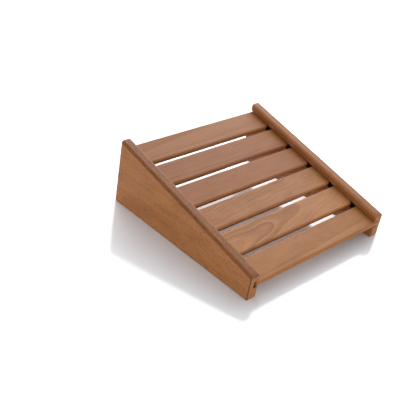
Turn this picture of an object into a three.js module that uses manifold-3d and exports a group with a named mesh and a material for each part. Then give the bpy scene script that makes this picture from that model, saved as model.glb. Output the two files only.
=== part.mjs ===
// Sauna headrest: six slats across, held by their ends in the grooves of two wedge-shaped cheeks.
//
// Millimetres. +X runs along the slats, +Y towards the high end and +Z up. The origin is under the
// middle of the headrest, on the surface that it stands on.

import * as THREE from "three";
import { mergeVertices } from "three/addons/utils/BufferGeometryUtils.js";
import Module from "manifold-3d";

// Cheeks: the two side boards, planed from one thickness of board.
const WIDTH = 370; // over the outer faces of both cheeks
const CHEEK_DEPTH = 350; // front face to rear face
const CHEEK_LOW = 48; // height of the front face
const CHEEK_HIGH = 128; // height of the rear face
const CHEEK_THICKNESS = 21;
const CHEEK_ROUNDING = 5; // radius along both long top edges

// Slats: counted from the low front end.
const SLAT_COUNT = 6;
const SLAT_WIDTH = 53; // along the slope
const SLAT_THICKNESS = 11;
const SLAT_ROUNDING = 4.2; // radius along all four long edges
const SLAT_CORNER = 18; // radius of the front corners, seen from above, behind the first slat
const SLAT_RECESS = 14.5; // from the cheeks' top edge down to the slats' faces
const SLAT_PROUD = 1.8; // the front slat's nose ahead of the cheeks' front faces
const SLAT_GRIP = 7.75; // slat end inside a groove, mean of the two ends
const SLAT_OFFSET = 1.25; // the slats sit this much towards the right cheek

// Grooves: one along the inner face of each cheek, parallel to its top edge and open at both ends.
const FIT_GAP = 0.3; // between pieces that touch
const GROOVE_DEPTH = 10.5;
const GROOVE_HEIGHT = SLAT_THICKNESS + 2 * FIT_GAP;

// Brads: one in each slat end, driven from below at an angle, up into the wood over the groove.
const BRAD_LENGTH = 25;
const BRAD_RADIUS = 0.7;
const BRAD_HEAD_RADIUS = 1.2;
const BRAD_HEAD_HEIGHT = 0.8;
const BRAD_TIP_LENGTH = 2;
const BRAD_TIP_RADIUS = 0.1;
const BRAD_LEAN = Math.PI / 4; // from the slat's face, outwards
const BRAD_SINK = 1.6; // from the slat's underside to the head, along the brad
const BRAD_INSET = 7.5; // from the cheek's inner face to where the brad goes in

// Facets
const CORNER_SEGMENTS = 6;
const BRAD_SEGMENTS = 12;
const CUT_MARGIN = 10; // how far a cutting solid reaches past what it cuts
const MERGE_TOLERANCE = 1e-4; // corners closer than this are one corner

// Worked out from the dimensions above
const SIDES = { left: -1, right: 1 };
const INNER_X = WIDTH / 2 - CHEEK_THICKNESS;
const OVERALL_DEPTH = CHEEK_DEPTH + SLAT_PROUD;
const CHEEK_FRONT = SLAT_PROUD - OVERALL_DEPTH / 2;
const CHEEK_REAR = CHEEK_FRONT + CHEEK_DEPTH;
const SLOPE = Math.atan2(CHEEK_HIGH - CHEEK_LOW, CHEEK_DEPTH);
const SLOPE_LENGTH = Math.hypot(CHEEK_HIGH - CHEEK_LOW, CHEEK_DEPTH);
const SLAT_LENGTH = 2 * (INNER_X + SLAT_GRIP);
const SLAT_MIDDLE = -SLAT_RECESS - SLAT_THICKNESS / 2; // height in the slope frame
const SLAT_UNDERSIDE = -SLAT_RECESS - SLAT_THICKNESS;

const wasm = await Module();
wasm.setup();

/** A closed three.js geometry as a manifold solid. */
function solidOf(geometry) {
  const bare = geometry.clone();
  bare.deleteAttribute("normal");
  bare.deleteAttribute("uv");
  const merged = mergeVertices(bare, MERGE_TOLERANCE);
  const vertProperties = new Float32Array(merged.attributes.position.array);
  const triVerts = new Uint32Array(merged.index.array);
  return new wasm.Manifold(new wasm.Mesh({ numProp: 3, vertProperties, triVerts }));
}

/** A manifold solid as a three.js geometry. */
function geometryOf(solid) {
  const mesh = solid.getMesh();
  const geometry = new THREE.BufferGeometry();
  geometry.setAttribute("position", new THREE.BufferAttribute(mesh.vertProperties, 3));
  geometry.setIndex(new THREE.BufferAttribute(mesh.triVerts, 1));
  return geometry;
}

/** The geometry left when each of the cutting geometries is taken from the blank. */
function cutAway(blank, cutters) {
  let solid = solidOf(blank);
  for (const cutter of cutters) {
    solid = solid.subtract(solidOf(cutter));
  }
  return geometryOf(solid);
}

/** A rectangle about the origin whose four corners are arcs. */
function roundedRectangle(width, height, radius) {
  const x = width / 2 - radius;
  const y = height / 2 - radius;
  const quarter = Math.PI / 2;
  const shape = new THREE.Shape();
  shape.absarc(x, y, radius, 0, quarter);
  shape.absarc(-x, y, radius, quarter, 2 * quarter);
  shape.absarc(-x, -y, radius, 2 * quarter, 3 * quarter);
  shape.absarc(x, -y, radius, 3 * quarter, 4 * quarter);
  return shape;
}

/** A rectangle under the origin's level whose two top corners are arcs. */
function roundTopped(width, height, radius) {
  const x = width / 2 - radius;
  const quarter = Math.PI / 2;
  const shape = new THREE.Shape();
  shape.moveTo(-width / 2, -height);
  shape.lineTo(width / 2, -height);
  shape.absarc(x, -radius, radius, 0, quarter);
  shape.absarc(-x, -radius, radius, quarter, 2 * quarter);
  return shape;
}

/** A shape drawn in the plane across `axis`, extruded along it and centred on the origin. */
function extrudeAlong(axis, shape, length) {
  const geometry = new THREE.ExtrudeGeometry(shape, {
    depth: length,
    bevelEnabled: false,
    curveSegments: CORNER_SEGMENTS,
  });
  geometry.translate(0, 0, -length / 2);
  if (axis === "x") {
    // The shape's x and y become +Y and +Z.
    geometry.rotateX(Math.PI / 2);
    geometry.rotateZ(Math.PI / 2);
  } else {
    // The shape's x and y become -X and +Z.
    geometry.rotateX(Math.PI / 2);
    geometry.rotateZ(Math.PI);
  }
  return geometry;
}

/** From the slope frame, which starts at the front top edge and climbs with it, to the object's. */
const slopeFrame = new THREE.Group();
slopeFrame.position.set(0, CHEEK_FRONT, CHEEK_LOW);
slopeFrame.rotation.x = SLOPE;
slopeFrame.updateMatrix();

/** Where each slat's middle lies along the slope: the first is proud, the last flush at the rear. */
function slatPlaces() {
  const low = SLAT_RECESS + SLAT_ROUNDING;
  const lowest = SLAT_RECESS + SLAT_THICKNESS - SLAT_ROUNDING;
  const noseReach = SLAT_ROUNDING - SLAT_PROUD - low * Math.sin(SLOPE);
  const tailReach = CHEEK_DEPTH - SLAT_ROUNDING - lowest * Math.sin(SLOPE);
  const first = noseReach / Math.cos(SLOPE) - SLAT_ROUNDING + SLAT_WIDTH / 2;
  const last = tailReach / Math.cos(SLOPE) + SLAT_ROUNDING - SLAT_WIDTH / 2;
  const pitch = (last - first) / (SLAT_COUNT - 1);
  return Array.from({ length: SLAT_COUNT }, (_, index) => first + index * pitch);
}

/** A brad, or with a gap the hole that it needs, standing on its head along +Z. */
function bradGeometry(gap, lead) {
  const shank = BRAD_RADIUS + gap;
  const head = BRAD_HEAD_RADIUS + gap;
  const shoulder = BRAD_HEAD_HEIGHT + gap;
  const end = BRAD_LENGTH + gap;
  const profile = [
    new THREE.Vector2(0, -lead),
    new THREE.Vector2(head, -lead),
    new THREE.Vector2(head, shoulder),
    new THREE.Vector2(shank, shoulder),
    new THREE.Vector2(shank, end - BRAD_TIP_LENGTH),
    new THREE.Vector2(BRAD_TIP_RADIUS, end),
    new THREE.Vector2(0, end),
  ];
  const geometry = new THREE.LatheGeometry(profile, BRAD_SEGMENTS);
  geometry.rotateX(Math.PI / 2); // the lathe's axis, +Y, becomes +Z
  return geometry;
}

/** Where the brad of one slat end lies in the slope frame. */
function bradMatrix(side, slatPlace) {
  const sinkX = BRAD_SINK * Math.cos(BRAD_LEAN);
  const sinkZ = BRAD_SINK * Math.sin(BRAD_LEAN);
  const x = side * (INNER_X - BRAD_INSET + sinkX);
  const turn = new THREE.Quaternion();
  turn.setFromAxisAngle(new THREE.Vector3(0, 1, 0), side * (Math.PI / 2 - BRAD_LEAN));
  const place = new THREE.Vector3(x, slatPlace, SLAT_UNDERSIDE + sinkZ);
  return new THREE.Matrix4().compose(place, turn, new THREE.Vector3(1, 1, 1));
}

/** The solid that clears the hole for one brad, in the slope frame. */
function bradHole(side, slatPlace) {
  return bradGeometry(FIT_GAP, CUT_MARGIN).applyMatrix4(bradMatrix(side, slatPlace));
}

/** One cheek: the wedge outline, its rounded top, the groove and the brads' blind holes. */
function cheekGeometry(side) {
  const outline = new THREE.Shape();
  outline.moveTo(CHEEK_FRONT, 0);
  outline.lineTo(CHEEK_REAR, 0);
  outline.lineTo(CHEEK_REAR, CHEEK_HIGH);
  outline.lineTo(CHEEK_FRONT, CHEEK_LOW);
  const wedge = extrudeAlong("x", outline, CHEEK_THICKNESS + 2 * CUT_MARGIN);

  const reach = SLOPE_LENGTH + 2 * CHEEK_HIGH;
  const board = roundTopped(CHEEK_THICKNESS, 2 * CHEEK_HIGH, CHEEK_ROUNDING);
  const rail = extrudeAlong("y", board, reach);
  rail.translate(0, SLOPE_LENGTH / 2, 0);
  rail.applyMatrix4(slopeFrame.matrix);
  const blank = geometryOf(solidOf(wedge).intersect(solidOf(rail)));

  const middleX = side * (INNER_X + CHEEK_THICKNESS / 2);
  const grooveWidth = GROOVE_DEPTH + CUT_MARGIN;
  const grooveX = side * (INNER_X + GROOVE_DEPTH - grooveWidth / 2);
  const groove = new THREE.BoxGeometry(grooveWidth, reach, GROOVE_HEIGHT);
  groove.translate(grooveX, SLOPE_LENGTH / 2, SLAT_MIDDLE);
  const holes = slatPlaces().map((slatPlace) => bradHole(side, slatPlace));
  const cutters = [groove, ...holes];
  for (const cutter of cutters) {
    cutter.applyMatrix4(slopeFrame.matrix);
    cutter.translate(-middleX, 0, 0);
  }
  return cutAway(blank, cutters);
}

/** The solid that rounds off the front corner at one end of a slat, about the slat's middle. */
function cornerCut(side) {
  const end = SLAT_LENGTH / 2;
  const front = -SLAT_WIDTH / 2;
  const quarter = Math.PI / 2;
  const waste = new THREE.Shape();
  waste.moveTo(end - SLAT_CORNER, front - CUT_MARGIN);
  waste.lineTo(end + CUT_MARGIN, front - CUT_MARGIN);
  waste.lineTo(end + CUT_MARGIN, front + SLAT_CORNER);
  waste.absarc(end - SLAT_CORNER, front + SLAT_CORNER, SLAT_CORNER, 0, -quarter, true);
  const depth = SLAT_THICKNESS + 2 * CUT_MARGIN;
  const geometry = new THREE.ExtrudeGeometry(waste, {
    depth,
    bevelEnabled: false,
    curveSegments: CORNER_SEGMENTS,
  });
  geometry.translate(0, 0, -depth / 2);
  if (side < 0) {
    // Half a turn about the slat's width carries the cut to the other end.
    geometry.rotateY(Math.PI);
  }
  return geometry;
}

/** One slat with the through holes for the brads of its two ends, about its own middle. */
function slatGeometry(hasRoundCorners) {
  const section = roundedRectangle(SLAT_WIDTH, SLAT_THICKNESS, SLAT_ROUNDING);
  const blank = extrudeAlong("x", section, SLAT_LENGTH);
  const sides = Object.values(SIDES);
  const cutters = sides.map((side) => bradHole(side, 0));
  for (const hole of cutters) {
    hole.translate(-SLAT_OFFSET, 0, -SLAT_MIDDLE);
  }
  if (hasRoundCorners) {
    cutters.push(...sides.map(cornerCut));
  }
  return cutAway(blank, cutters);
}

const CHEEK_WOOD = { name: "heat-treated wood, cheeks", color: 0x93653f, roughness: 0.62 };
const SLAT_WOOD = { name: "heat-treated wood, slats", color: 0xa97d58, roughness: 0.62 };
const STEEL = { name: "stainless steel", color: 0xb8b8b4, roughness: 0.35, metalness: 1 };

/** A named piece with a material of its own. */
function pieceOf(name, geometry, finish) {
  const piece = new THREE.Mesh(geometry, new THREE.MeshStandardMaterial(finish));
  piece.name = name;
  return piece;
}

const headrest = new THREE.Group();
headrest.name = "sauna_headrest";
headrest.add(slopeFrame);

for (const [sideName, side] of Object.entries(SIDES)) {
  const cheek = pieceOf(`cheek_${sideName}`, cheekGeometry(side), CHEEK_WOOD);
  cheek.position.x = side * (INNER_X + CHEEK_THICKNESS / 2);
  headrest.add(cheek);
}

slatPlaces().forEach((slatPlace, index) => {
  const number = index + 1;
  const slat = pieceOf(`slat_${number}`, slatGeometry(index > 0), SLAT_WOOD);
  slat.position.set(SLAT_OFFSET, slatPlace, SLAT_MIDDLE);
  slopeFrame.add(slat);
  for (const [sideName, side] of Object.entries(SIDES)) {
    const brad = pieceOf(`brad_${sideName}_${number}`, bradGeometry(0, 0), STEEL);
    brad.applyMatrix4(bradMatrix(side, slatPlace));
    slopeFrame.add(brad);
  }
});

export default headrest;
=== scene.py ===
"""Looks of a heat-treated wooden sauna headrest.

Eased boards with solid wood grain, steel brads and a bright studio. Metres, in the row's
frame: +X runs along the slats, +Y to the high rear end, +Z up.
"""

import math
from dataclasses import dataclass

import bmesh
import bpy
from mathutils import Matrix, Vector


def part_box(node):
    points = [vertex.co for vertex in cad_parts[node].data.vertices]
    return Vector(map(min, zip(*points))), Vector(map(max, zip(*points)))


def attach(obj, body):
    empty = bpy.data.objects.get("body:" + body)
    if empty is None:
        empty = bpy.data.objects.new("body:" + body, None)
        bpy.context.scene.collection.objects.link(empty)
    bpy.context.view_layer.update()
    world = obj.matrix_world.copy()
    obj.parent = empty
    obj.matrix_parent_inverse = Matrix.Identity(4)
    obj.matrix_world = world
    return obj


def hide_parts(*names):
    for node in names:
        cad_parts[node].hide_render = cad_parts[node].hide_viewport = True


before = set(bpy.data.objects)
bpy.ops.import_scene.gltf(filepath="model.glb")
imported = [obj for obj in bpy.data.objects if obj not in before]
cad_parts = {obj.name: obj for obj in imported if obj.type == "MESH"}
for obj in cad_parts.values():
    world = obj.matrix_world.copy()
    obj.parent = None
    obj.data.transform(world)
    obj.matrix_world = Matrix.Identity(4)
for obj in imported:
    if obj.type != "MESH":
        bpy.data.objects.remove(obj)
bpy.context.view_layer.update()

MM = 0.001
SIDES = {"left": -1, "right": 1}
SLAT_COUNT = 6

# Sections of the boards
SLAT_WIDTH = 53 * MM
SLAT_THICKNESS = 11 * MM
SLAT_ROUNDING = 4.2 * MM
SLAT_CORNER = 18 * MM  # front corners seen from above, behind the first slat
CORNER_SHOWN = 0.7  # the part of the corner's radius before the groove hides it
CORNER_STEPS = 14
CHEEK_ROUNDING = 5 * MM
GROOVE_DEPTH = 10.5 * MM
GROOVE_HEIGHT = 11.6 * MM
SUPPORT = 0.5 * MM  # from a rounding to the line that keeps the flat beside it flat
EASE = 0.9 * MM  # every sharp edge is eased by this much
EASE_SEGMENTS = 3
EASE_PROFILE = 0.5  # a round one
SHARP_ANGLE = math.radians(40)
ROUNDING_STEPS = 10
STATION_STEP = 12 * MM

# Brads
BRAD_LENGTH = 25 * MM
BRAD_RADIUS = 0.7 * MM
BRAD_HEAD_RADIUS = 1.2 * MM
BRAD_HEAD_HEIGHT = 0.8 * MM
BRAD_TIP_LENGTH = 2 * MM
BRAD_TIP_RADIUS = 0.1 * MM
BRAD_LEAN = math.radians(45)
BRAD_DOME = 0.15 * MM
BRAD_DOME_SHAPE = ((0.45, 0.0), (0.85, 0.4), (1.0, 1.0))  # parts of the radius and of the dome
BRAD_STEPS = 24
HOLE_GAP = 0.3 * MM
HOLE_LEAD = 10 * MM

# Camera: where the middle of the picture meets the headrest, and from where it is seen
AIM = Vector((-78.5, 58.7, 31.4)) * MM
VIEW_AZIMUTH = math.radians(-48.58)
VIEW_ELEVATION = math.radians(31.56)
VIEW_ROLL = math.radians(10.23)
VIEW_DISTANCE = 1.4397
VIEW_LENS = 69.0
SENSOR_WIDTH = 36.0


# ---------------------------------------------------------------- frame of the slope


def middle_of(node):
    low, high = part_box(node)
    return (low + high) / 2


FIRST_SLAT = middle_of("slat_1")
LAST_SLAT = middle_of(f"slat_{SLAT_COUNT}")
SLOPE = math.atan2(LAST_SLAT.z - FIRST_SLAT.z, LAST_SLAT.y - FIRST_SLAT.y)
SLOPE_TURN = Matrix.Rotation(SLOPE, 3, "X")
CHEEK_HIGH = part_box("cheek_left")[1]


def top_height(y):
    """Height of the cheeks' top edges at a place along +Y."""
    return CHEEK_HIGH.z - (CHEEK_HIGH.y - y) * math.tan(SLOPE)


# ---------------------------------------------------------------- mesh building


def rounded_corner(centre_u, centre_v, radius, start, steps=ROUNDING_STEPS):
    """Points of a quarter arc, from the angle `start`."""
    points = []
    for step in range(steps + 1):
        angle = start + math.pi / 2 * step / steps
        u = centre_u + radius * math.cos(angle)
        v = centre_v + radius * math.sin(angle)
        points.append((u, v))
    return points


def behind_corner(across, run):
    """Where a point of the section lies, `run` past the start of a rounded front corner."""
    centre = SLAT_CORNER - SLAT_WIDTH / 2
    reach = centre - across
    if reach <= 0:
        return across
    return centre - math.sqrt(reach**2 - run**2)


def slat_section(run=0.0):
    """The slat's section, across and through, with a line beside each rounding."""
    half_width = SLAT_WIDTH / 2
    half_thickness = SLAT_THICKNESS / 2
    u = half_width - SLAT_ROUNDING
    v = half_thickness - SLAT_ROUNDING
    points = []
    for quarter, (su, sv) in enumerate(((1, 1), (-1, 1), (-1, -1), (1, -1))):
        arc = rounded_corner(su * u, sv * v, SLAT_ROUNDING, quarter * math.pi / 2)
        if quarter % 2 == 0:
            arc.append((su * (u - SUPPORT), sv * half_thickness))
            arc.append((0, sv * half_thickness))
        else:
            arc.insert(0, (su * (u - SUPPORT), sv * half_thickness))
        points += arc
    return [(behind_corner(across, run), through) for across, through in points]


def loft(rings):
    """A closed mesh through rings of points, capped at both ends."""
    mesh = bmesh.new()
    rows = [[mesh.verts.new(point) for point in ring] for ring in rings]
    for row, after in zip(rows, rows[1:]):
        for index in range(len(row)):
            following = (index + 1) % len(row)
            mesh.faces.new((row[index], row[following], after[following], after[index]))
    mesh.faces.new(rows[0])
    mesh.faces.new(reversed(rows[-1]))
    bmesh.ops.recalc_face_normals(mesh, faces=mesh.faces)
    return mesh


def ease_edges(mesh):
    """Rounds every sharp outer edge and marks the new strips with the float attribute `arris`."""
    arris = mesh.verts.layers.float.new("arris")
    sharp = [edge for edge in mesh.edges if edge.calc_face_angle_signed() > SHARP_ANGLE]
    result = bmesh.ops.bevel(
        mesh,
        geom=sharp,
        offset=EASE,
        segments=EASE_SEGMENTS,
        affect="EDGES",
        profile=EASE_PROFILE,
        clamp_overlap=True,
    )
    strips = set(result["faces"])
    for vert in result["verts"]:
        if all(face in strips for face in vert.link_faces):
            vert[arris] = 1.0


def to_object(name, mesh):
    data = bpy.data.meshes.new(name)
    mesh.to_mesh(data)
    mesh.free()
    piece = bpy.data.objects.new(name, data)
    bpy.context.scene.collection.objects.link(piece)
    return piece


def carve(piece, cutter):
    """Takes the cutter from the piece and removes the cutter."""
    modifier = piece.modifiers.new("holes", "BOOLEAN")
    modifier.operation = "DIFFERENCE"
    modifier.solver = "EXACT"
    modifier.object = cutter
    depsgraph = bpy.context.evaluated_depsgraph_get()
    carved = bpy.data.meshes.new_from_object(piece.evaluated_get(depsgraph))
    carved.name = piece.name
    piece.modifiers.clear()
    piece.data = carved
    bpy.data.objects.remove(cutter)


def smooth(piece):
    piece.data.shade_smooth()
    piece.data.set_sharp_from_angle(angle=SHARP_ANGLE)


def stations(start, end):
    """Places along a board, close enough for an even mesh."""
    count = max(2, round((end - start) / STATION_STEP))
    return [start + (end - start) * index / count for index in range(count + 1)]


# ---------------------------------------------------------------- brads


def brad_place(side_name, number):
    """The matrix that stands a brad on the middle of its head, along its own axis."""
    side = SIDES[side_name]
    lean = Vector((side * math.cos(BRAD_LEAN), 0, math.sin(BRAD_LEAN)))
    axis = SLOPE_TURN @ lean
    low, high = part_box(f"brad_{side_name}_{number}")
    head = Vector()
    for index in range(3):
        reach = BRAD_HEAD_RADIUS * math.sqrt(1 - axis[index] ** 2)
        head[index] = low[index] + reach if axis[index] > 0 else high[index] - reach
    turn = axis.to_track_quat("Z", "Y").to_matrix().to_4x4()
    return Matrix.Translation(head) @ turn


def brad_profile(gap, lead):
    """Radius and height of a brad from its head up, or with a gap of the hole that clears it."""
    shank = BRAD_RADIUS + gap
    head = BRAD_HEAD_RADIUS + gap
    shoulder = BRAD_HEAD_HEIGHT + gap
    end = BRAD_LENGTH + gap
    return [
        (head, -lead),
        (head, shoulder),
        (shank, shoulder),
        (shank, end - BRAD_TIP_LENGTH),
        (BRAD_TIP_RADIUS, end),
    ]


def turned(profile, steps):
    """A closed mesh of revolution about +Z."""
    rings = []
    for radius, height in profile:
        ring = []
        for step in range(steps):
            angle = 2 * math.pi * step / steps
            ring.append((radius * math.cos(angle), radius * math.sin(angle), height))
        rings.append(ring)
    return loft(rings)


def brad_holes(name, places):
    holes = bmesh.new()
    for place in places:
        hole = turned(brad_profile(HOLE_GAP, HOLE_LEAD), BRAD_STEPS)
        hole.transform(place)
        part = bpy.data.meshes.new("hole")
        hole.to_mesh(part)
        hole.free()
        holes.from_mesh(part)
        bpy.data.meshes.remove(part)
    return to_object(name, holes)


def make_brad(side_name, number):
    dome = [(BRAD_HEAD_RADIUS * out, BRAD_DOME * down) for out, down in BRAD_DOME_SHAPE]
    rest = brad_profile(0, 0)[1:]
    mesh = turned(dome + rest, BRAD_STEPS)
    mesh.transform(brad_place(side_name, number))
    brad = to_object(f"brad_{side_name}_{number}_steel", mesh)
    smooth(brad)
    return brad


# ---------------------------------------------------------------- boards


def slat_stations(low_x, high_x, corner):
    """Places along a slat, each with its run past the start of a rounded front corner."""
    run_end = SLAT_CORNER * CORNER_SHOWN
    runs = [run_end * step / CORNER_STEPS for step in range(1, CORNER_STEPS + 1)]
    if not corner:
        return [(x, 0.0) for x in stations(low_x, high_x)]
    start = low_x + SLAT_CORNER
    end = high_x - SLAT_CORNER
    places = [(low_x, run_end)]
    places += [(start - run, run) for run in reversed(runs)]
    places += [(x, 0.0) for x in stations(start, end)]
    places += [(end + run, run) for run in runs]
    places.append((high_x, run_end))
    return places


def make_slat(number):
    node = f"slat_{number}"
    low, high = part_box(node)
    middle = middle_of(node)
    rings = []
    for x, run in slat_stations(low.x, high.x, number > 1):
        ring = []
        for across, through in slat_section(run):
            offset = SLOPE_TURN @ Vector((0, across, through))
            ring.append(Vector((x, middle.y, middle.z)) + offset)
        rings.append(ring)
    mesh = loft(rings)
    ease_edges(mesh)
    slat = to_object(f"slat_{number}_wood", mesh)
    places = [brad_place(side_name, number) for side_name in SIDES]
    carve(slat, brad_holes("holes", places))
    smooth(slat)
    return slat


def cheek_section(thickness):
    """The cheek's section from the bottom outer corner round to the bottom inner one.

    Each point is (out, down, grounded): out from the inner face, down from the top edge square
    to the slope, or on the ground where grounded is true.
    """
    radius = CHEEK_ROUNDING
    groove_middle = (top_height(FIRST_SLAT.y) - FIRST_SLAT.z) * math.cos(SLOPE)
    groove_top = groove_middle - GROOVE_HEIGHT / 2
    groove_bottom = groove_middle + GROOVE_HEIGHT / 2
    points = [(thickness, 0, True)]
    points.append((thickness, groove_bottom, False))
    points.append((thickness, radius + SUPPORT, False))
    for u, v in rounded_corner(thickness - radius, -radius, radius, 0):
        points.append((u, -v, False))
    points.append((thickness - radius - SUPPORT, 0, False))
    points.append((radius + SUPPORT, 0, False))
    for u, v in rounded_corner(radius, -radius, radius, math.pi / 2):
        points.append((u, -v, False))
    points.append((0, radius + SUPPORT, False))
    points.append((0, groove_top, False))
    points.append((GROOVE_DEPTH, groove_top, False))
    points.append((GROOVE_DEPTH, groove_bottom, False))
    points.append((0, groove_bottom, False))
    points.append((0, 0, True))
    return points


def make_cheek(side_name):
    side = SIDES[side_name]
    node = f"cheek_{side_name}"
    low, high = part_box(node)
    inner_x = min(abs(low.x), abs(high.x))
    section = cheek_section(high.x - low.x)
    rings = []
    for y in stations(low.y, high.y):
        ring = []
        for out, down, grounded in section:
            z = low.z if grounded else top_height(y) - down / math.cos(SLOPE)
            ring.append(Vector((side * (inner_x + out), y, z)))
        rings.append(ring)
    mesh = loft(rings)
    ease_edges(mesh)
    cheek = to_object(f"cheek_{side_name}_wood", mesh)
    places = [brad_place(side_name, number + 1) for number in range(SLAT_COUNT)]
    carve(cheek, brad_holes("holes", places))
    smooth(cheek)
    return cheek


# ---------------------------------------------------------------- materials


@dataclass
class Grain:
    """How a board was cut from its tree. Lengths in millimetres, in the board's own axes:

    x along the grain, y across the face and z through the thickness, from the board's middle.
    """

    pith: tuple = (0.0, -60.0)  # the tree's centre, across and through
    drift: float = 0.0  # how far the centre moves across, per millimetre along
    taper: float = 0.01  # how fast the rings widen along the board
    birth: float = 0.0  # where the first ring begins
    sway: tuple = (0.0, 100.0, 0.0)  # height, length and start of a wave in the rings
    ring: float = 4.0  # width of one year's ring
    fade: float = 0.0  # how much fainter each ring is than the next one towards age zero
    late: float = 0.86  # the part of a ring's width by which most of its darkening is done
    wander: float = 3.0  # slow wandering of the fibres
    ring_contrast: float = 0.5
    fibre_contrast: float = 0.5
    mottle_contrast: float = 0.5
    fleck_amount: float = 0.3
    light: float = 0.0  # shift of the board's tone, up is lighter
    red: float = 0.0  # shift of the board's hue, up is redder
    seed: float = 0.0


class Graph:
    """A short way to write a material's node tree."""

    # Sockets of a mix of colours
    MIX_FACTOR = 0
    MIX_FIRST = 6
    MIX_SECOND = 7
    MIX_RESULT = 2

    def __init__(self, name):
        self.material = bpy.data.materials.new(name)
        self.material.use_nodes = True
        self.tree = self.material.node_tree
        self.tree.nodes.clear()

    def node(self, kind, inputs=None, **settings):
        made = self.tree.nodes.new(kind)
        for key, value in settings.items():
            setattr(made, key, value)
        for key, value in (inputs or {}).items():
            self.put(made.inputs[key], value)
        return made

    def put(self, socket, value):
        if isinstance(value, bpy.types.NodeSocket):
            self.tree.links.new(value, socket)
        else:
            socket.default_value = value

    def math(self, operation, first, second=0.0, third=0.0, clamp=False):
        made = self.node("ShaderNodeMath", operation=operation, use_clamp=clamp)
        for socket, value in zip(made.inputs, (first, second, third)):
            self.put(socket, value)
        return made.outputs[0]

    def product(self, first, *others):
        for other in others:
            first = self.math("MULTIPLY", first, other)
        return first

    def vector_math(self, operation, first, second):
        made = self.node("ShaderNodeVectorMath", operation=operation)
        self.put(made.inputs[0], first)
        self.put(made.inputs[1], second)
        return made

    def scale(self, vector, factors):
        return self.vector_math("MULTIPLY", vector, factors).outputs["Vector"]

    def shift(self, vector, offset):
        return self.vector_math("ADD", vector, offset).outputs["Vector"]

    def dot(self, vector, direction):
        return self.vector_math("DOT_PRODUCT", vector, tuple(direction)).outputs["Value"]

    def noise(self, vector, detail, roughness=0.5):
        inputs = {"Vector": vector, "Scale": 1.0, "Detail": detail, "Roughness": roughness}
        return self.node("ShaderNodeTexNoise", inputs)

    def cloud(self, place, pattern):
        """A smoothly changing value, about 0.5 on average."""
        vector = self.scale(place, pattern.scale)
        return self.noise(vector, pattern.detail, pattern.roughness).outputs["Fac"]

    def drift(self, vector, detail, reach):
        """A smoothly changing offset of up to about half of `reach` either way."""
        colour = self.noise(vector, detail).outputs["Color"]
        return self.scale(self.shift(colour, (-0.5, -0.5, -0.5)), reach)

    def specks(self, place, cluster, speck):
        """Soft uneven spots, where a random number of each cell is over a limit."""
        cell = self.scale(place, speck.scale)
        pushed = self.shift(cell, self.drift(cell, speck.push_detail, speck.push))
        cells = self.node("ShaderNodeTexVoronoi", {"Vector": pushed, "Scale": 1.0})
        number = self.node("ShaderNodeSeparateColor", {"Color": cells.outputs["Color"]})
        highest_limit = speck.rarity + speck.clustering / 2
        limit = self.math("MULTIPLY_ADD", cluster, -speck.clustering, highest_limit)
        chosen = self.math("GREATER_THAN", number.outputs[0], limit)
        spot = self.spread(cells.outputs["Distance"], speck.size, speck.core * speck.size)
        return self.product(spot, chosen)

    def ramp(self, value, stops):
        """Values or colours at places from 0 to 1, with straight changes between them."""
        made = self.node("ShaderNodeValToRGB", {"Fac": value})
        elements = made.color_ramp.elements
        while len(elements) < len(stops):
            elements.new(0.5)
        for element, (place, colour) in zip(elements, stops):
            element.position = place
            element.color = colour if isinstance(colour, tuple) else (colour, colour, colour, 1)
        return made.outputs["Color"]

    def spread(self, value, low, high, new_low=0.0, new_high=1.0):
        """A smooth change from `new_low` to `new_high` while the value goes from low to high."""
        inputs = {
            "Value": value,
            "From Min": low,
            "From Max": high,
            "To Min": new_low,
            "To Max": new_high,
        }
        made = self.node("ShaderNodeMapRange", inputs, interpolation_type="SMOOTHSTEP")
        return made.outputs["Result"]

    def mix(self, factor, first, second, blend="MIX"):
        made = self.node("ShaderNodeMix", data_type="RGBA", blend_type=blend)
        self.put(made.inputs[self.MIX_FACTOR], factor)
        self.put(made.inputs[self.MIX_FIRST], first)
        self.put(made.inputs[self.MIX_SECOND], second)
        return made.outputs[self.MIX_RESULT]

    def finish(self, inputs):
        """Ends the material in a principled shader with these inputs."""
        shader = self.node("ShaderNodeBsdfPrincipled", inputs)
        self.node("ShaderNodeOutputMaterial", {"Surface": shader.outputs["BSDF"]})
        return self.material


@dataclass
class Pattern:
    """A cloudy pattern. In wood its scale is in cycles per millimetre of the board's axes."""

    scale: tuple
    detail: float = 2.0
    roughness: float = 0.5


@dataclass
class Speck:
    """Dark spots in wood, one or none in each cell of a grid of this scale."""

    scale: tuple
    rarity: float  # about the part of the cells without a spot
    size: float  # of a spot, in cells
    core: float = 0.3  # the part of a spot that is fully dark
    clustering: float = 1.4  # how strongly the spots gather
    push: tuple = (2.2, 2.2, 2.2)  # how far the cells are pushed out of their grid, in cells
    push_detail: float = 1.0


# Wood colours
PALE_WOOD = (0.47, 0.193, 0.06, 1)
MIDDLE_WOOD = (0.325, 0.132, 0.037, 1)
DARK_WOOD = (0.16, 0.048, 0.01, 1)
RED_WOOD = (0.31, 0.098, 0.021, 1)
FLECK_WOOD = (0.07, 0.022, 0.008, 1)
# Darker eased edges; also painted shade in a band on a cheek's outer top rounding
ARRIS_AND_SHADE_WOOD = (0.1, 0.036, 0.015, 1)
# Painted shade and bounced light on a slat's front edge
FRONT_SHADE_WOOD = (0.25, 0.088, 0.018, 1)
# Painted shade on a cheek's lip, reddened like light bounced from the slats
LIP_SHADE = (0.17, 0.042, 0.018, 1)
# Painted shade, near black, in the open groove
GROOVE_SHADE = (0.006, 0.004, 0.003, 1)
TOP_TINT = (0.5, 0.38, 0.12, 1)

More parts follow.
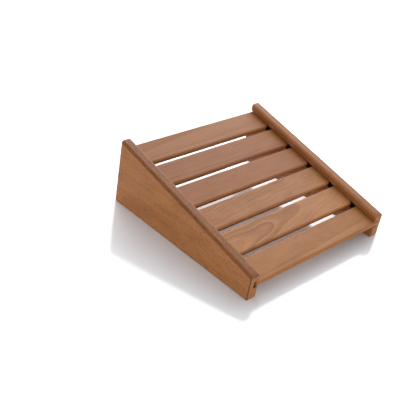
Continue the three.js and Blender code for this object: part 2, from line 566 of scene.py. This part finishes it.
# Wood patterns
WANDER_SCALE = (0.007, 0.028, 0.028)
WANDER_DETAIL = 2.0
BLUSH = Pattern((0.011, 0.06, 0.06))
FIBRE = Pattern((0.016, 0.75, 0.75), detail=4.0, roughness=0.62)
FINE_FIBRE = Pattern((0.09, 3.2, 3.2), detail=3.0, roughness=0.6)
MOTTLE = Pattern((0.018, 0.045, 0.045), detail=3.0, roughness=0.55)
CLUSTER = Pattern((0.03, 0.05, 0.05))
FLECK = Speck((0.22, 0.8, 0.8), rarity=0.6, size=0.5)
SPOT = Speck((0.1, 0.32, 0.32), rarity=0.93, size=0.42)
SEED_STEP = Vector((517.0, 131.0, 71.0))  # mm between places in the patterns, for a seed of 1

# Rings: the late wood's share at places in a year, and how much it differs from year to year
LATE_LEAD = 0.41  # from the last early wood to the place that a grain's `late` gives
LATE_PEAK = 0.95  # where a year is darkest
FIRST_LATE = 0.02
EARLY_LATE = 0.22
FULL_LATE = 0.72
LUCK_SPREAD = 0.7
LUCK_LOWEST = 0.45
FAINTEST_RING = 0.22

# Tones, from 0 for dark to 1 for pale
BASE_TONE = 0.62
FINE_SHARE = 0.5  # of the fibres' contrast
BLUSH_RANGE = (0.35, 0.75)
BLUSH_MOST = 0.35
END_RANGE = (0.6, 0.95)  # of the normal along the grain
END_DEPTH = 0.28
FRONT_SHADE_RANGE = (0.15, 0.75)  # of the normal towards the front edge, where shade and light bounced between the slats are painted
FRONT_SHADE_DEPTH = 0.6
ARRIS_DEPTH = 0.75

# Gloss and relief of the wood
WOOD_ROUGHNESS = 0.42
FINE_ROUGHNESS = 0.22
LATE_ROUGHNESS = 0.08
WOOD_SPECULAR = 0.35
FIBRE_RELIEF = 0.5
FINE_RELIEF = 0.35
RELIEF_STRENGTH = 0.6
RELIEF_DEPTH = 0.12 * MM

# Marks and painted light and shade on the cheeks: depths from 0 to 1, and places as parts of
# the top rounding's radius, as parts of the thickness, or in millimetres
TOP_DEPTH = {-1: 0.9, 1: 0.4}  # by side; the right top is darkened less, a painted sheen
TOP_PLACE = (1.0, 0.6)  # under the top, of the radius
RIM_HIGHLIGHT_PLACE = (0.95, 0.3)  # out from the inner face, of the radius; the top's darkening fades out here, a painted highlight along the inner rounding
STREAK_RANGE = (0.35, 0.65, 1.2, 0.7)  # of the fibres' value, then the strength at each end
# A band of painted shade on the top's outer rounding
SHADE_BAND_OUT = (0.75, 0.95)  # out from the inner face, of the thickness
SHADE_BAND_START = (0.55, 0.85)  # under the top, of the radius
SHADE_BAND_END = (1.25, 1.05)
SHADE_BAND_DEPTH = 0.45
# Darker along the front outer corner
CORNER_DARK_REACH = (2.2, 1.0)  # mm from the outer face and from the front end
CORNER_DEPTH = 0.85
# Painted shade on the lip's inner face above the slats, reddened like light bounced from them
LIP_OUT = (3.0, 0.6)  # mm from the inner face
LIP_START = (0.5, 1.2)  # under the top, of the radius
LIP_SHADE_DEPTH = 0.38
# Painted shade, near black, in the open groove between the slats
GROOVE_OUT = (0.3, 1.5)  # mm from the inner face
GROOVE_MARGIN = 0.1  # mm
GROOVE_SHADE_DEPTH = 0.9


def cheek_marks_and_shade(g, place, colour, streaks, side):
    """Darkens a cheek's planed top and its front outer corner, and paints light and shade: a
    sheen on the right top, a highlight along the inner rounding, and shade in a band on the outer
    rounding, on the lip's inner face and in the groove.
    """
    low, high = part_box("cheek_left" if side < 0 else "cheek_right")
    thickness = (high.x - low.x) / MM
    inner_x = min(abs(low.x), abs(high.x))
    radius = CHEEK_ROUNDING / MM
    normal = SLOPE_TURN @ Vector((0, 0, 1))
    highest = normal.dot(Vector((0, high.y, high.z)))

    # Millimetres out from the inner face, under the top edge and behind the front end
    axes = g.node("ShaderNodeSeparateXYZ", {"Vector": place})
    out = g.math("MULTIPLY_ADD", axes.outputs["X"], side / MM, -inner_x / MM)
    under = g.math("MULTIPLY_ADD", g.dot(place, normal), -1 / MM, highest / MM)
    behind = g.math("MULTIPLY_ADD", axes.outputs["Y"], 1 / MM, -low.y / MM)

    def over(value, places, unit, *levels):
        return g.spread(value, places[0] * unit, places[1] * unit, *levels)

    # The top is darkened less on the right, a painted sheen, and not along the inner rounding, a
    # painted highlight
    rim = over(out, RIM_HIGHLIGHT_PLACE, radius, TOP_DEPTH[side], 0.0)
    top = g.product(over(under, TOP_PLACE, radius), rim, g.spread(streaks, *STREAK_RANGE))
    colour = g.mix(top, colour, TOP_TINT, "MULTIPLY")

    # A band of painted shade on the outer rounding
    line = g.product(over(out, SHADE_BAND_OUT, thickness), over(under, SHADE_BAND_START, radius))
    line = g.product(line, over(under, SHADE_BAND_END, radius), SHADE_BAND_DEPTH)
    colour = g.mix(line, colour, ARRIS_AND_SHADE_WOOD)

    # Darker along the front outer corner
    fade_reach, full_reach = CORNER_DARK_REACH
    corner = g.spread(out, thickness - fade_reach, thickness - full_reach)
    corner = g.product(corner, g.spread(behind, fade_reach, full_reach), CORNER_DEPTH)
    colour = g.mix(corner, colour, ARRIS_AND_SHADE_WOOD)

    # Painted shade on the lip's inner face, reddened like light bounced from the slats
    lip = g.product(g.spread(out, *LIP_OUT), over(under, LIP_START, radius), LIP_SHADE_DEPTH)
    colour = g.mix(lip, colour, LIP_SHADE)

    # Painted shade, near black, in the open groove
    groove_middle = (highest - normal.dot(FIRST_SLAT)) / MM
    reach = GROOVE_HEIGHT / 2 / MM + GROOVE_MARGIN
    groove = g.product(
        g.math("GREATER_THAN", under, groove_middle - reach),
        g.math("LESS_THAN", under, groove_middle + reach),
        g.math("LESS_THAN", out, GROOVE_DEPTH / MM + GROOVE_MARGIN),
        g.spread(out, *GROOVE_OUT),
        GROOVE_SHADE_DEPTH,
    )
    return g.mix(groove, colour, GROOVE_SHADE)


def late_wood(g, bent, grain):
    """How much late wood there is at a place: rings about the tree's centre, year by year."""
    axes = g.node("ShaderNodeSeparateXYZ", {"Vector": bent})
    along, across, through = (axes.outputs[axis] for axis in "XYZ")
    off_across = g.math("SUBTRACT", across, grain.pith[0])
    off_across = g.math("SUBTRACT", off_across, g.product(along, grain.drift))
    off_through = g.math("SUBTRACT", through, grain.pith[1])
    radius = g.math("ADD", g.math("POWER", off_across, 2.0), g.math("POWER", off_through, 2.0))
    radius = g.math("SQRT", radius)

    height, length, start = grain.sway
    turns = 2 * math.pi / length
    wave = g.math("SINE", g.math("MULTIPLY_ADD", along, turns, -turns * start))
    wave = g.math("SUBTRACT", g.product(wave, height), grain.birth)
    rise = g.math("MULTIPLY_ADD", along, grain.taper, wave)
    age = g.math("DIVIDE", g.math("ADD", radius, rise), grain.ring)

    stops = [
        (0.0, FIRST_LATE),
        (grain.late - LATE_LEAD, EARLY_LATE),
        (grain.late, FULL_LATE),
        (LATE_PEAK, 1.0),
        (1.0, FIRST_LATE),
    ]
    late = g.ramp(g.math("FRACT", age), stops)
    year = {"W": g.math("FLOOR", age)}
    luck = g.node("ShaderNodeTexWhiteNoise", year, noise_dimensions="1D").outputs["Value"]
    luck = g.math("MULTIPLY_ADD", luck, LUCK_SPREAD, LUCK_LOWEST)
    late = g.product(late, luck)
    if grain.fade:
        faint = g.math("MULTIPLY_ADD", g.math("ABSOLUTE", age), -grain.fade, 1.0)
        late = g.product(late, g.math("MAXIMUM", faint, FAINTEST_RING))
    return late


def wood_colour(g, grain, late, fibre, fine, mottle):
    """The colour of plain wood, from the dark of late wood to the pale of early wood."""
    tone = g.math("MULTIPLY_ADD", late, -grain.ring_contrast, BASE_TONE + grain.light)
    for pattern, amount in (
        (fibre, grain.fibre_contrast),
        (fine, FINE_SHARE * grain.fibre_contrast),
        (mottle, grain.mottle_contrast),
    ):
        tone = g.math("ADD", tone, g.math("MULTIPLY_ADD", pattern, amount, -0.5 * amount))
    return g.ramp(tone, [(0.0, DARK_WOOD), (0.5, MIDDLE_WOOD), (1.0, PALE_WOOD)])


def worn_and_shaded_colour(g, place, colour, turn, streaks, side):
    """Darkens end grain and every eased edge, and paints shade and bounced light on a slat's
    front edge, or gives a cheek its marks and painted light and shade.
    """
    normal = g.node("ShaderNodeTexCoord").outputs["Normal"]
    end = g.math("ABSOLUTE", g.dot(normal, turn @ Vector((1, 0, 0))))
    colour = g.mix(g.spread(end, *END_RANGE, 0.0, END_DEPTH), colour, DARK_WOOD)
    if side:
        colour = cheek_marks_and_shade(g, place, colour, streaks, side)
    else:
        # Painted shade and light bounced between the slats, on a slat's front edge
        front = g.dot(normal, turn @ Vector((0, -1, 0)))
        colour = g.mix(g.spread(front, *FRONT_SHADE_RANGE, 0.0, FRONT_SHADE_DEPTH), colour, FRONT_SHADE_WOOD)
    arris = g.node("ShaderNodeAttribute", attribute_name="arris").outputs["Fac"]
    return g.mix(g.product(arris, ARRIS_DEPTH), colour, ARRIS_AND_SHADE_WOOD)


def wood(name, middle, turn, grain, side=0):
    """Solid wood, cut from its tree as `grain` says. A cheek's material has a side, -1 or 1."""
    g = Graph(name)
    place = g.node("ShaderNodeTexCoord").outputs["Object"]
    mapping = g.node("ShaderNodeMapping", {"Vector": place}, vector_type="TEXTURE")
    mapping.inputs["Location"].default_value = middle
    mapping.inputs["Rotation"].default_value = turn.to_euler()
    mapping.inputs["Scale"].default_value = (MM, MM, MM)
    board = mapping.outputs["Vector"]
    seeded = g.shift(board, grain.seed * SEED_STEP)

    # Fibres wander slowly, and the rings wander with them.
    reach = (0.0, grain.wander, grain.wander)
    wander = g.drift(g.scale(seeded, WANDER_SCALE), WANDER_DETAIL, reach)
    late = late_wood(g, g.shift(board, wander), grain)
    bent = g.shift(seeded, wander)
    fibre = g.cloud(bent, FIBRE)
    fine = g.cloud(bent, FINE_FIBRE)
    mottle = g.cloud(seeded, MOTTLE)
    cluster = g.cloud(seeded, CLUSTER)
    fleck = g.math("MAXIMUM", g.specks(bent, cluster, FLECK), g.specks(bent, cluster, SPOT))
    fleck = g.product(fleck, grain.fleck_amount)

    colour = wood_colour(g, grain, late, fibre, fine, mottle)
    blush = g.spread(g.cloud(seeded, BLUSH), *BLUSH_RANGE, 0.0, BLUSH_MOST)
    colour = g.mix(g.math("ADD", blush, grain.red, clamp=True), colour, RED_WOOD)
    colour = g.mix(fleck, colour, FLECK_WOOD)
    colour = worn_and_shaded_colour(g, place, colour, turn, fibre, side)

    roughness = g.math("MULTIPLY_ADD", fine, FINE_ROUGHNESS, WOOD_ROUGHNESS)
    roughness = g.math("MULTIPLY_ADD", late, LATE_ROUGHNESS, roughness)
    relief = g.math("MULTIPLY_ADD", fibre, FIBRE_RELIEF, g.product(fine, FINE_RELIEF))
    relief = g.math("SUBTRACT", relief, fleck)
    inputs = {"Height": relief, "Strength": RELIEF_STRENGTH, "Distance": RELIEF_DEPTH}
    bump = g.node("ShaderNodeBump", inputs)
    return g.finish(
        {
            "Base Color": colour,
            "Roughness": roughness,
            "Specular IOR Level": WOOD_SPECULAR,
            "Normal": bump.outputs["Normal"],
        }
    )


# Stainless steel
DRAW = Pattern((2500.0, 2500.0, 300.0), detail=3.0, roughness=0.6)  # cycles per metre
DRAW_RANGE = (0.3, 0.7)
DARK_STEEL = (0.44, 0.43, 0.41, 1)
PALE_STEEL = (0.62, 0.61, 0.59, 1)
STEEL_ROUGHNESS = (0.25, 0.5)
STEEL_STRENGTH = 0.3
STEEL_RELIEF = 0.02 * MM


def steel():
    """Drawn wire."""
    g = Graph("stainless_steel")
    place = g.node("ShaderNodeTexCoord").outputs["Object"]
    draw = g.cloud(place, DRAW)
    tint = g.ramp(draw, list(zip(DRAW_RANGE, (DARK_STEEL, PALE_STEEL))))
    inputs = {"Height": draw, "Strength": STEEL_STRENGTH, "Distance": STEEL_RELIEF}
    bump = g.node("ShaderNodeBump", inputs)
    return g.finish(
        {
            "Base Color": tint,
            "Roughness": g.spread(draw, *DRAW_RANGE, *STEEL_ROUGHNESS),
            "Metallic": 1.0,
            "Normal": bump.outputs["Normal"],
        }
    )


SLAT_GRAINS = [
    Grain(
        pith=(9.0, -75.0),
        taper=0.012,
        ring=6.0,
        ring_contrast=0.25,
        fibre_contrast=0.55,
        mottle_contrast=0.5,
        seed=1.0,
    ),
    Grain(
        pith=(8.7, -24.5),
        drift=0.133,
        taper=0.064,
        birth=27.45,
        sway=(0.82, 86.0, -36.0),
        ring=5.5,
        fade=0.6,
        late=0.62,
        wander=1.5,
        ring_contrast=0.95,
        fibre_contrast=0.5,
        light=0.13,
        seed=2.0,
    ),
    Grain(
        pith=(40.0, -35.0),
        taper=0.02,
        drift=0.05,
        sway=(0.9, 64.0, 10.0),
        ring=3.0,
        wander=4.5,
        ring_contrast=0.44,
        fibre_contrast=0.8,
        mottle_contrast=0.7,
        light=-0.02,
        seed=3.0,
    ),
    Grain(
        pith=(-70.0, -30.0),
        taper=0.005,
        ring=2.6,
        ring_contrast=0.4,
        fibre_contrast=0.8,
        light=-0.25,
        red=0.3,
        seed=4.0,
    ),
    Grain(
        pith=(-60.0, -50.0),
        taper=0.01,
        ring=3.6,
        ring_contrast=0.85,
        fibre_contrast=1.0,
        light=-0.23,
        red=0.35,
        seed=5.0,
    ),
    Grain(
        pith=(20.0, -90.0),
        taper=0.01,
        ring=6.0,
        ring_contrast=0.12,
        fibre_contrast=0.55,
        mottle_contrast=0.15,
        light=-0.22,
        red=0.1,
        seed=6.5,
    ),
]
CHEEK_GRAINS = {
    "left": Grain(
        pith=(-60.0, 150.0),
        taper=0.01,
        ring=5.0,
        ring_contrast=0.25,
        fibre_contrast=0.9,
        mottle_contrast=0.4,
        fleck_amount=0.75,
        light=0.33,
        red=0.3,
        seed=7.0,
    ),
    "right": Grain(
        pith=(-50.0, -160.0),
        taper=0.01,
        ring=5.0,
        ring_contrast=0.25,
        fibre_contrast=1.2,
        mottle_contrast=0.4,
        fleck_amount=0.6,
        light=0.1,
        red=0.3,
        seed=8.0,
    ),
}
# Board axes of a cheek: the grain runs along +Y, the face's width is +Z, its thickness +X.
CHEEK_TURN = Matrix(((0, 0, 1), (1, 0, 0), (0, 1, 0)))


# ---------------------------------------------------------------- the headrest


def place_piece(piece, node, material):
    piece.data.materials.clear()
    piece.data.materials.append(material)
    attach(piece, "root")
    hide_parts(node)


def build_headrest():
    for side_name in SIDES:
        node = f"cheek_{side_name}"
        grain = CHEEK_GRAINS[side_name]
        material = wood(f"wood_{node}", middle_of(node), CHEEK_TURN, grain, SIDES[side_name])
        place_piece(make_cheek(side_name), node, material)
    wire = steel()
    for index, grain in enumerate(SLAT_GRAINS):
        number = index + 1
        node = f"slat_{number}"
        material = wood(f"wood_{node}", middle_of(node), SLOPE_TURN, grain)
        place_piece(make_slat(number), node, material)
        for side_name in SIDES:
            brad = make_brad(side_name, number)
            place_piece(brad, f"brad_{side_name}_{number}", wire)


# ---------------------------------------------------------------- studio


@dataclass
class Lamp:
    """A soft box that looks at the headrest from a direction."""

    name: str
    towards: tuple
    distance: float
    size: tuple
    power: float
    tint: tuple = (1, 1, 1)


LAMPS = [
    Lamp("softbox_behind", (0.62, 0.5, 0.6), distance=2.4, size=(2.8, 1.9), power=52.0),
    Lamp("strip_behind", (0.3, 1.0, 0.12), distance=2.4, size=(1.6, 0.3), power=50.0),
    Lamp("fill_left", (-1.0, -0.45, 0.06), distance=2.6, size=(2.2, 0.35), power=20.0),
    Lamp(
        "fill_front",
        (0.15, -1.0, 0.05),
        distance=2.6,
        size=(2.0, 0.3),
        power=26.0,
        tint=(1.0, 0.96, 0.9),
    ),
]

WORLD_COLOUR = (0.95, 0.97, 1.0, 1)
WALL_DIRECTION = (0.72, 0.6, 0.3)  # towards the brightest part of the white surroundings
WALL_RANGE = (-0.7, 0.8)
WALL_STRENGTH = (0.45, 0.9)

UNDER_WIDTH = 75 * MM
UNDER_HEIGHT = 14 * MM
UNDER_FRONT = 75 * MM
UNDER_POWER = 0.065
UNDER_SPREAD = math.radians(70)

FLOOR_HALF = 12.0
FLOOR_DROP = 0.2 * MM
CONTACT_REACH = 0.45 * MM  # the floor is clear this near a foot, so that the feet aren't black
FLOOR_CLOUD = Pattern((3.0, 3.0, 3.0), detail=3.0)  # cycles per metre
CLOUD_RANGE = (0.3, 0.7)
FLOOR_TINTS = ((0.86, 0.865, 0.88, 1), (0.89, 0.895, 0.905, 1))
FLOOR_ROUGHNESS = 0.12
FLOOR_SPECULAR = 0.8


def make_floor():
    """A large pale floor just under the headrest, clear from below and close to a foot."""
    mesh = bmesh.new()
    corners = ((-1, -1), (1, -1), (1, 1), (-1, 1))
    places = [(x * FLOOR_HALF, y * FLOOR_HALF, -FLOOR_DROP) for x, y in corners]
    mesh.faces.new([mesh.verts.new(place) for place in places])
    floor = to_object("studio_floor", mesh)
    g = Graph("pale_floor")
    place = g.node("ShaderNodeTexCoord").outputs["Object"]
    cloud = g.cloud(place, FLOOR_CLOUD)
    inputs = {
        "Base Color": g.ramp(cloud, list(zip(CLOUD_RANGE, FLOOR_TINTS))),
        "Roughness": FLOOR_ROUGHNESS,
        "Specular IOR Level": FLOOR_SPECULAR,
    }
    shader = g.node("ShaderNodeBsdfPrincipled", inputs)
    below = g.node("ShaderNodeNewGeometry").outputs["Backfacing"]
    length = g.node("ShaderNodeLightPath").outputs["Ray Length"]
    hidden = g.math("MAXIMUM", below, g.math("LESS_THAN", length, CONTACT_REACH))
    clear = g.node("ShaderNodeBsdfTransparent")
    layers = {0: hidden, 1: shader.outputs[0], 2: clear.outputs[0]}
    sheet = g.node("ShaderNodeMixShader", layers)
    g.node("ShaderNodeOutputMaterial", {"Surface": sheet.outputs[0]})
    floor.data.materials.append(g.material)


def make_area(name, size, power):
    light = bpy.data.lights.new(name, "AREA")
    light.shape = "RECTANGLE"
    light.size, light.size_y = size
    light.energy = power
    item = bpy.data.objects.new(name, light)
    bpy.context.scene.collection.objects.link(item)
    return item


def make_lamp(lamp):
    item = make_area(lamp.name, lamp.size, lamp.power)
    item.data.color = lamp.tint
    towards = Vector(lamp.towards).normalized()
    item.location = towards * lamp.distance
    item.rotation_euler = towards.to_track_quat("Z", "Y").to_euler()


def light_under():
    """A small soft light over the floor beneath the slats, beside the right cheek."""
    low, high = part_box("cheek_right")
    front = low.y + UNDER_FRONT
    item = make_area("light_under", (UNDER_WIDTH, high.y - front), UNDER_POWER)
    item.data.spread = UNDER_SPREAD
    item.location = (low.x - UNDER_WIDTH / 2, (front + high.y) / 2, UNDER_HEIGHT)
    item.visible_camera = False


def light_studio():
    """White surroundings, brighter behind the headrest, with soft boxes."""
    world = bpy.data.worlds.new("white_studio")
    world.use_nodes = True
    tree = world.node_tree
    background = tree.nodes["Background"]
    background.inputs["Color"].default_value = WORLD_COLOUR
    place = tree.nodes.new("ShaderNodeTexCoord")
    facing = tree.nodes.new("ShaderNodeVectorMath")
    facing.operation = "DOT_PRODUCT"
    facing.inputs[1].default_value = Vector(WALL_DIRECTION).normalized()
    spread = tree.nodes.new("ShaderNodeMapRange")
    spread.interpolation_type = "SMOOTHSTEP"
    names = ("From Min", "From Max", "To Min", "To Max")
    for name, value in zip(names, WALL_RANGE + WALL_STRENGTH):
        spread.inputs[name].default_value = value
    tree.links.new(place.outputs["Generated"], facing.inputs[0])
    tree.links.new(facing.outputs["Value"], spread.inputs["Value"])
    tree.links.new(spread.outputs["Result"], background.inputs["Strength"])
    bpy.context.scene.world = world
    for lamp in LAMPS:
        make_lamp(lamp)
    light_under()


def make_camera():
    lens = bpy.data.cameras.new("photo_view")
    lens.lens = VIEW_LENS
    lens.sensor_width = SENSOR_WIDTH
    camera = bpy.data.objects.new("photo_view", lens)
    turn = Matrix.Rotation(VIEW_AZIMUTH, 4, "Z")
    turn = turn @ Matrix.Rotation(math.pi / 2 - VIEW_ELEVATION, 4, "X")
    turn = turn @ Matrix.Rotation(VIEW_ROLL, 4, "Z")
    back = turn @ Vector((0, 0, VIEW_DISTANCE))
    camera.matrix_world = Matrix.Translation(AIM + back) @ turn
    bpy.context.scene.collection.objects.link(camera)
    bpy.context.scene.camera = camera
    bpy.context.scene.view_settings.view_transform = "Standard"


make_camera()
make_floor()
light_studio()
build_headrest()
